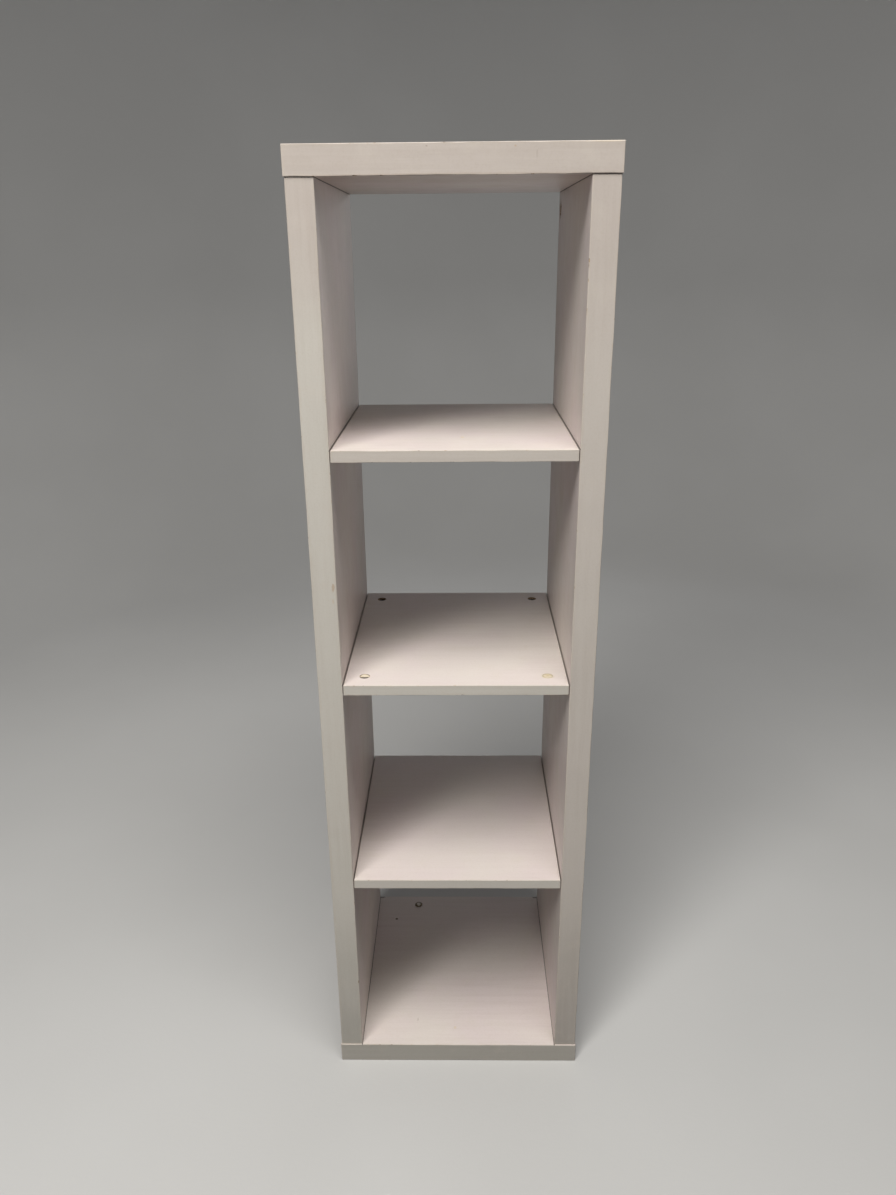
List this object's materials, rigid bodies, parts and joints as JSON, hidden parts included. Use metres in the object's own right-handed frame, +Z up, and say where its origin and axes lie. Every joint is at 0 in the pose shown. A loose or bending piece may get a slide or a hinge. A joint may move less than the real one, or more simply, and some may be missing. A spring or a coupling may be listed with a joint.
{
  "type": "bookcase with adjustable shelves",
  "caption": "Tall narrow open-backed bookcase: thick foil-covered case, a cam-locked middle shelf, removable shelves on pins above and below it.",
  "frame": {"origin": "on the floor, under the centre of the case", "axes": "+Z up, +Y to the rear, so the front faces -Y; +X to the right of someone facing the front"},
  "size_m": [0.412, 0.39, 1.46],
  "materials": {
    "panel_foil": "warm off-white foil on board, satin, faintly grained",
    "shelf_foil": "warm off-white foil on chipboard, satin, faintly grained",
    "dowel_wood": "plain beech, fluted",
    "fitting_steel": "zinc-plated steel",
    "cam_zinc": "dull dark die-cast zinc",
    "cap_plastic": "yellowed white plastic"
  },
  "bodies": {
    "case": {"top_panel": "panel_foil", "bottom_panel": "panel_foil", "left_side_panel": "panel_foil", "right_side_panel": "panel_foil", "middle_shelf": "shelf_foil", "corner_screw_bottom_left_front": "fitting_steel", "dowel_bottom_left_front": "dowel_wood", "corner_screw_bottom_left_rear": "fitting_steel", "dowel_bottom_left_rear": "dowel_wood", "corner_screw_top_left_front": "fitting_steel", "dowel_top_left_front": "dowel_wood", "corner_screw_top_left_rear": "fitting_steel", "dowel_top_left_rear": "dowel_wood", "corner_screw_bottom_right_front": "fitting_steel", "dowel_bottom_right_front": "dowel_wood", "corner_screw_bottom_right_rear": "fitting_steel", "dowel_bottom_right_rear": "dowel_wood", "corner_screw_top_right_front": "fitting_steel", "dowel_top_right_front": "dowel_wood", "corner_screw_top_right_rear": "fitting_steel", "dowel_top_right_rear": "dowel_wood", "pin_lower_left_front": "fitting_steel", "pin_lower_left_rear": "fitting_steel", "pin_lower_right_front": "fitting_steel", "pin_lower_right_rear": "fitting_steel", "pin_upper_left_front": "fitting_steel", "pin_upper_left_rear": "fitting_steel", "pin_upper_right_front": "fitting_steel", "pin_upper_right_rear": "fitting_steel", "cam_bolt_front_left": "fitting_steel", "cam_bolt_rear_left": "fitting_steel", "cam_bolt_front_right": "fitting_steel", "cam_bolt_rear_right": "fitting_steel", "cam_cap_front_left": "cap_plastic", "cam_cap_front_right": "cap_plastic", "added_washer": "fitting_steel", "added_screw": "fitting_steel"},
    "upper_shelf": {"upper_shelf": "shelf_foil"},
    "lower_shelf": {"lower_shelf": "shelf_foil"},
    "cam_front_left": {"cam_front_left": "cam_zinc"},
    "cam_rear_left": {"cam_rear_left": "cam_zinc"},
    "cam_front_right": {"cam_front_right": "cam_zinc"},
    "cam_rear_right": {"cam_rear_right": "cam_zinc"}
  },
  "joints": [
    {"name": "upper_shelf_slide", "type": "slide", "parent": "case", "child": "upper_shelf", "axis": [0, -1, 0], "range_m": [0, 0.42]},
    {"name": "lower_shelf_slide", "type": "slide", "parent": "case", "child": "lower_shelf", "axis": [0, -1, 0], "range_m": [0, 0.42]},
    {"name": "cam_front_left_turn", "type": "hinge", "parent": "case", "child": "cam_front_left", "pos_m": [-0.13825, -0.1615, 0.73], "axis": [0, 0, 1], "range_deg": [0, 150]},
    {"name": "cam_rear_left_turn", "type": "hinge", "parent": "case", "child": "cam_rear_left", "pos_m": [-0.13825, 0.1615, 0.73], "axis": [0, 0, 1], "range_deg": [0, 150]},
    {"name": "cam_front_right_turn", "type": "hinge", "parent": "case", "child": "cam_front_right", "pos_m": [0.13825, -0.1615, 0.73], "axis": [0, 0, 1], "range_deg": [0, 150]},
    {"name": "cam_rear_right_turn", "type": "hinge", "parent": "case", "child": "cam_rear_right", "pos_m": [0.13825, 0.1615, 0.73], "axis": [0, 0, 1], "range_deg": [0, 150]}
  ]
}
